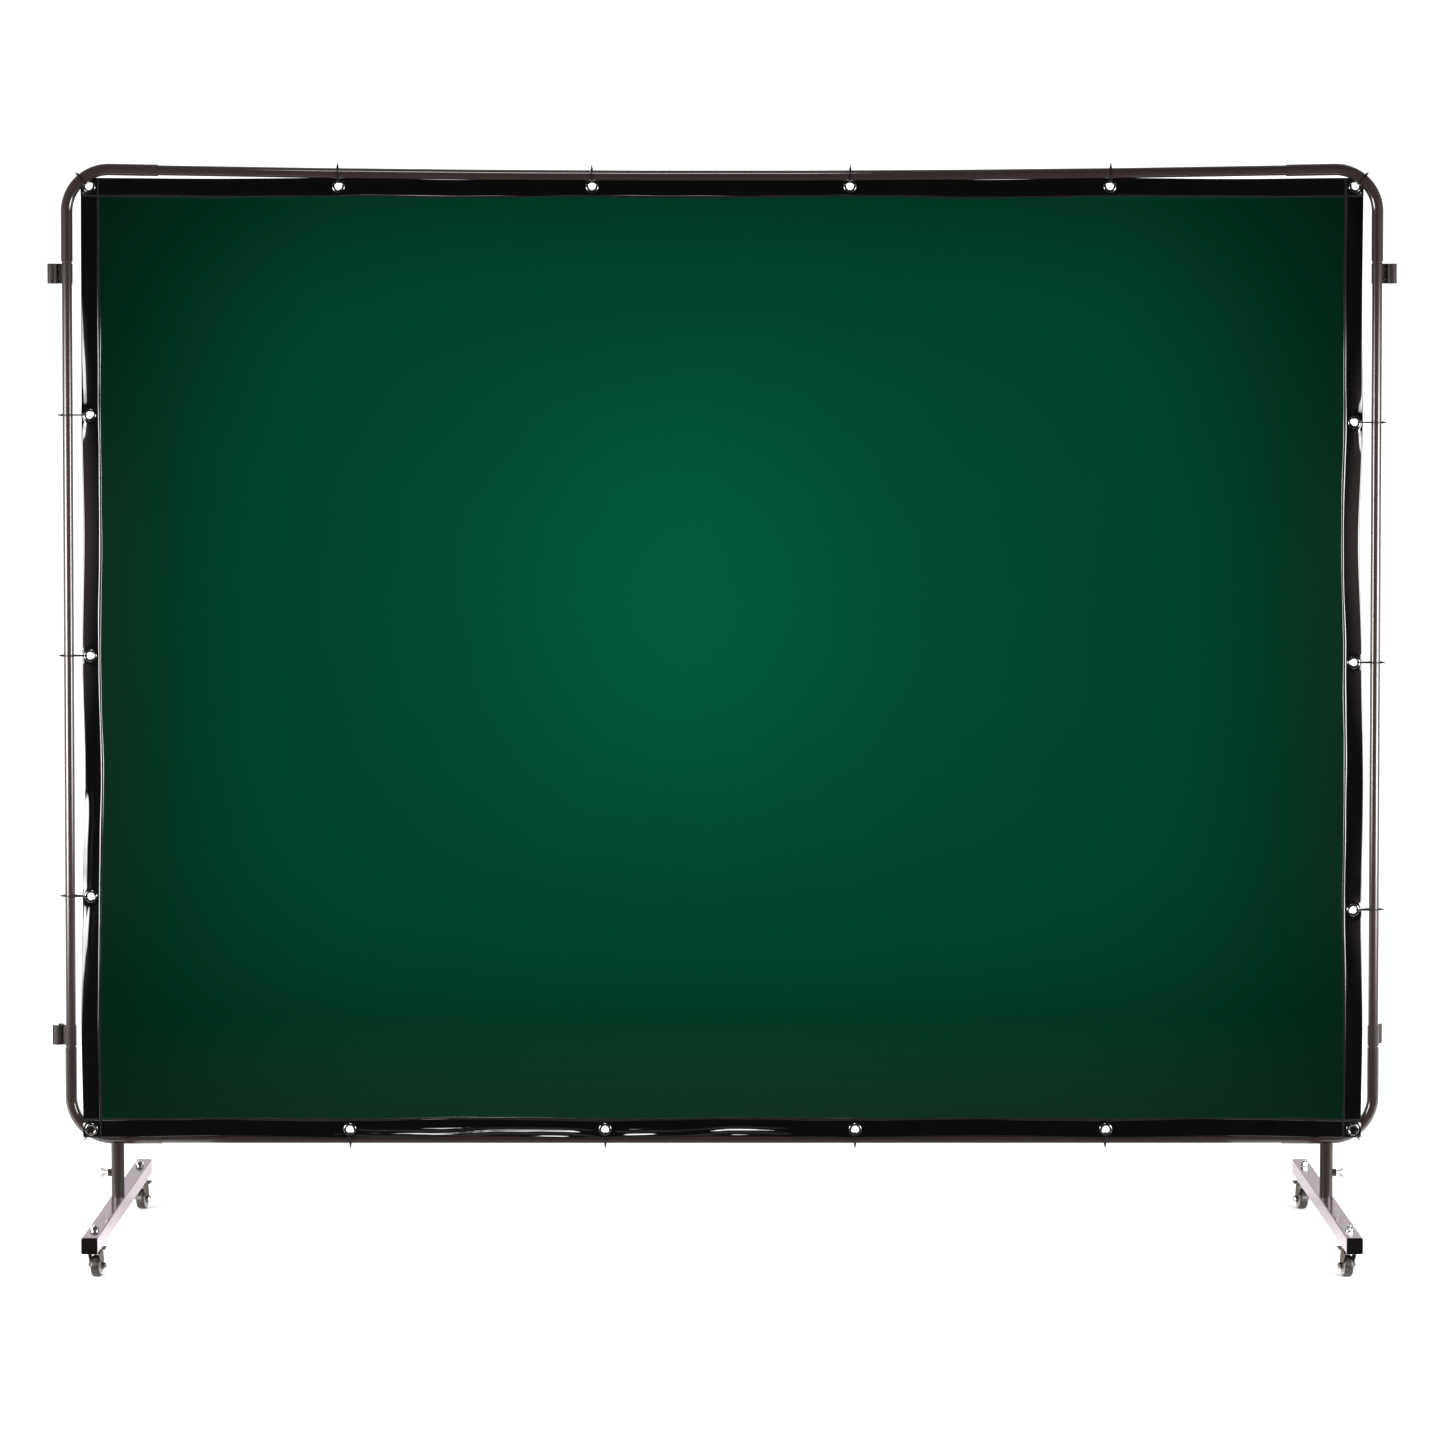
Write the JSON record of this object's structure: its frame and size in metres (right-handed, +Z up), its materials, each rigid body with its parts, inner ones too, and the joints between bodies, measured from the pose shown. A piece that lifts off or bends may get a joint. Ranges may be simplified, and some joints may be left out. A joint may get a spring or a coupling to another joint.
{
  "type": "welding curtain screen",
  "caption": "Free-standing welding screen: a translucent green curtain laced inside a round-tube frame on crosswise feet with braked swivel casters and side couplers.",
  "frame": {"origin": "on the floor, under the middle of the screen", "axes": "+X along the screen, to the right seen from the front; -Y towards the front; +Z up"},
  "size_m": [2.5584, 0.7, 2.0615],
  "materials": {
    "frame_paint": "glossy dark brown powder coat",
    "coupler_steel": "semi-gloss dark powder coat",
    "bright_steel": "bright zinc plating",
    "foot_chrome": "polished chrome plating",
    "cap_plastic": "satin black plastic",
    "fork_chrome": "bright nickel plating on stamped steel",
    "wheel_plastic": "light grey moulded plastic",
    "tyre_rubber": "black rubber",
    "pedal_plastic": "black moulded plastic",
    "pvc_green": "translucent green PVC film",
    "pvc_black": "glossy black PVC film",
    "grommet_metal": "darkened metal",
    "tie_nylon": "black nylon"
  },
  "bodies": {
    "frame": {"top_rail": "frame_paint", "bottom_rail": "frame_paint", "left_rail": "frame_paint", "right_rail": "frame_paint", "corner_tube_bottom_left": "frame_paint", "corner_tube_bottom_right": "frame_paint", "corner_tube_top_left": "frame_paint", "corner_tube_top_right": "frame_paint", "leg_sleeve_left": "frame_paint", "leg_sleeve_right": "frame_paint", "leg_weld_nuts": "frame_paint", "curtain_sheet": "pvc_green", "curtain_hem": "pvc_black", "grommets": "grommet_metal", "grommet_washers": "grommet_metal", "cable_ties": "tie_nylon"},
    "coupler_bottom_left": {"coupler_bottom_left": "coupler_steel", "coupler_rivets_bottom_left": "bright_steel"},
    "coupler_bottom_right": {"coupler_bottom_right": "coupler_steel", "coupler_rivets_bottom_right": "bright_steel"},
    "coupler_top_left": {"coupler_top_left": "coupler_steel", "coupler_rivets_top_left": "bright_steel"},
    "coupler_top_right": {"coupler_top_right": "coupler_steel", "coupler_rivets_top_right": "bright_steel"},
    "wing_screw_left": {"wing_screw_left": "bright_steel"},
    "foot_left": {"foot_tube_left": "foot_chrome", "foot_post_left": "foot_chrome", "end_caps_left": "cap_plastic", "caster_stems_left": "fork_chrome", "stem_nuts_left": "bright_steel", "bearing_balls_left": "bright_steel"},
    "fork_front_left": {"fork_front_left": "fork_chrome", "axle_front_left": "bright_steel"},
    "wheel_front_left": {"wheel_front_left": "wheel_plastic", "tyre_front_left": "tyre_rubber"},
    "brake_pedal_front_left": {"brake_pedal_front_left": "pedal_plastic"},
    "fork_rear_left": {"fork_rear_left": "fork_chrome", "axle_rear_left": "bright_steel"},
    "wheel_rear_left": {"wheel_rear_left": "wheel_plastic", "tyre_rear_left": "tyre_rubber"},
    "brake_pedal_rear_left": {"brake_pedal_rear_left": "pedal_plastic"},
    "wing_screw_right": {"wing_screw_right": "bright_steel"},
    "foot_right": {"foot_tube_right": "foot_chrome", "foot_post_right": "foot_chrome", "end_caps_right": "cap_plastic", "caster_stems_right": "fork_chrome", "stem_nuts_right": "bright_steel", "bearing_balls_right": "bright_steel"},
    "fork_front_right": {"fork_front_right": "fork_chrome", "axle_front_right": "bright_steel"},
    "wheel_front_right": {"wheel_front_right": "wheel_plastic", "tyre_front_right": "tyre_rubber"},
    "brake_pedal_front_right": {"brake_pedal_front_right": "pedal_plastic"},
    "fork_rear_right": {"fork_rear_right": "fork_chrome", "axle_rear_right": "bright_steel"},
    "wheel_rear_right": {"wheel_rear_right": "wheel_plastic", "tyre_rear_right": "tyre_rubber"},
    "brake_pedal_rear_right": {"brake_pedal_rear_right": "pedal_plastic"}
  },
  "joints": [
    {"name": "coupler_turn_bottom_left", "type": "hinge", "parent": "frame", "child": "coupler_bottom_left", "pos_m": [-1.24325, 0, 0.3995], "axis": [0, 0, 1], "range_deg": [-98, 150]},
    {"name": "coupler_turn_bottom_right", "type": "hinge", "parent": "frame", "child": "coupler_bottom_right", "pos_m": [1.24325, 0, 0.3995], "axis": [0, 0, 1], "range_deg": [-193, 55]},
    {"name": "coupler_turn_top_left", "type": "hinge", "parent": "frame", "child": "coupler_top_left", "pos_m": [-1.24325, 0, 1.8525], "axis": [0, 0, 1], "range_deg": [-124, 124]},
    {"name": "coupler_turn_top_right", "type": "hinge", "parent": "frame", "child": "coupler_top_right", "pos_m": [1.24325, 0, 1.8525], "axis": [0, 0, 1], "range_deg": [-124, 124]},
    {"name": "wing_screw_turn_left", "type": "hinge", "parent": "frame", "child": "wing_screw_left", "pos_m": [-1.1675, 0, 0.136], "axis": [-1, 0, 0], "range_deg": [0, 1080]},
    {"name": "foot_turn_left", "type": "hinge", "parent": "frame", "child": "foot_left", "pos_m": [-1.155, 0, 0.089], "axis": [0, 0, 1], "continuous": true},
    {"name": "swivel_front_left", "type": "hinge", "parent": "foot_left", "child": "fork_front_left", "pos_m": [-1.155, -0.285, 0.059], "axis": [0, 0, 1], "continuous": true},
    {"name": "wheel_spin_front_left", "type": "hinge", "parent": "fork_front_left", "child": "wheel_front_left", "pos_m": [-1.15322, -0.26809, 0.02], "axis": [0.9945, -0.1045, 0], "continuous": true},
    {"name": "brake_front_left", "type": "hinge", "parent": "fork_front_left", "child": "brake_pedal_front_left", "pos_m": [-1.15375, -0.27307, 0.045], "axis": [-0.9945, 0.1045, 0], "range_deg": [0, 17]},
    {"name": "swivel_rear_left", "type": "hinge", "parent": "foot_left", "child": "fork_rear_left", "pos_m": [-1.155, 0.285, 0.059], "axis": [0, 0, 1], "continuous": true},
    {"name": "wheel_spin_rear_left", "type": "hinge", "parent": "fork_rear_left", "child": "wheel_rear_left", "pos_m": [-1.15205, 0.30174, 0.02], "axis": [0.9848, -0.1736, 0], "continuous": true},
    {"name": "brake_rear_left", "type": "hinge", "parent": "fork_rear_left", "child": "brake_pedal_rear_left", "pos_m": [-1.15292, 0.29682, 0.045], "axis": [-0.9848, 0.1736, 0], "range_deg": [0, 17]},
    {"name": "wing_screw_turn_right", "type": "hinge", "parent": "frame", "child": "wing_screw_right", "pos_m": [1.1675, 0, 0.136], "axis": [1, 0, 0], "range_deg": [0, 1080]},
    {"name": "foot_turn_right", "type": "hinge", "parent": "frame", "child": "foot_right", "pos_m": [1.155, 0, 0.089], "axis": [0, 0, 1], "continuous": true},
    {"name": "swivel_front_right", "type": "hinge", "parent": "foot_right", "child": "fork_front_right", "pos_m": [1.155, -0.285, 0.059], "axis": [0, 0, 1], "continuous": true},
    {"name": "wheel_spin_front_right", "type": "hinge", "parent": "fork_front_right", "child": "wheel_front_right", "pos_m": [1.15293, -0.26813, 0.02], "axis": [0.9925, 0.1219, 0], "continuous": true},
    {"name": "brake_front_right", "type": "hinge", "parent": "fork_front_right", "child": "brake_pedal_front_right", "pos_m": [1.15354, -0.27309, 0.045], "axis": [-0.9925, -0.1219, 0], "range_deg": [0, 17]},
    {"name": "swivel_rear_right", "type": "hinge", "parent": "foot_right", "child": "fork_rear_right", "pos_m": [1.155, 0.285, 0.059], "axis": [0, 0, 1], "continuous": true},
    {"name": "wheel_spin_rear_right", "type": "hinge", "parent": "fork_rear_right", "child": "wheel_rear_right", "pos_m": [1.15234, 0.30179, 0.02], "axis": [0.9877, 0.1564, 0], "continuous": true},
    {"name": "brake_rear_right", "type": "hinge", "parent": "fork_rear_right", "child": "brake_pedal_rear_right", "pos_m": [1.15312, 0.29685, 0.045], "axis": [-0.9877, -0.1564, 0], "range_deg": [0, 17]}
  ]
}
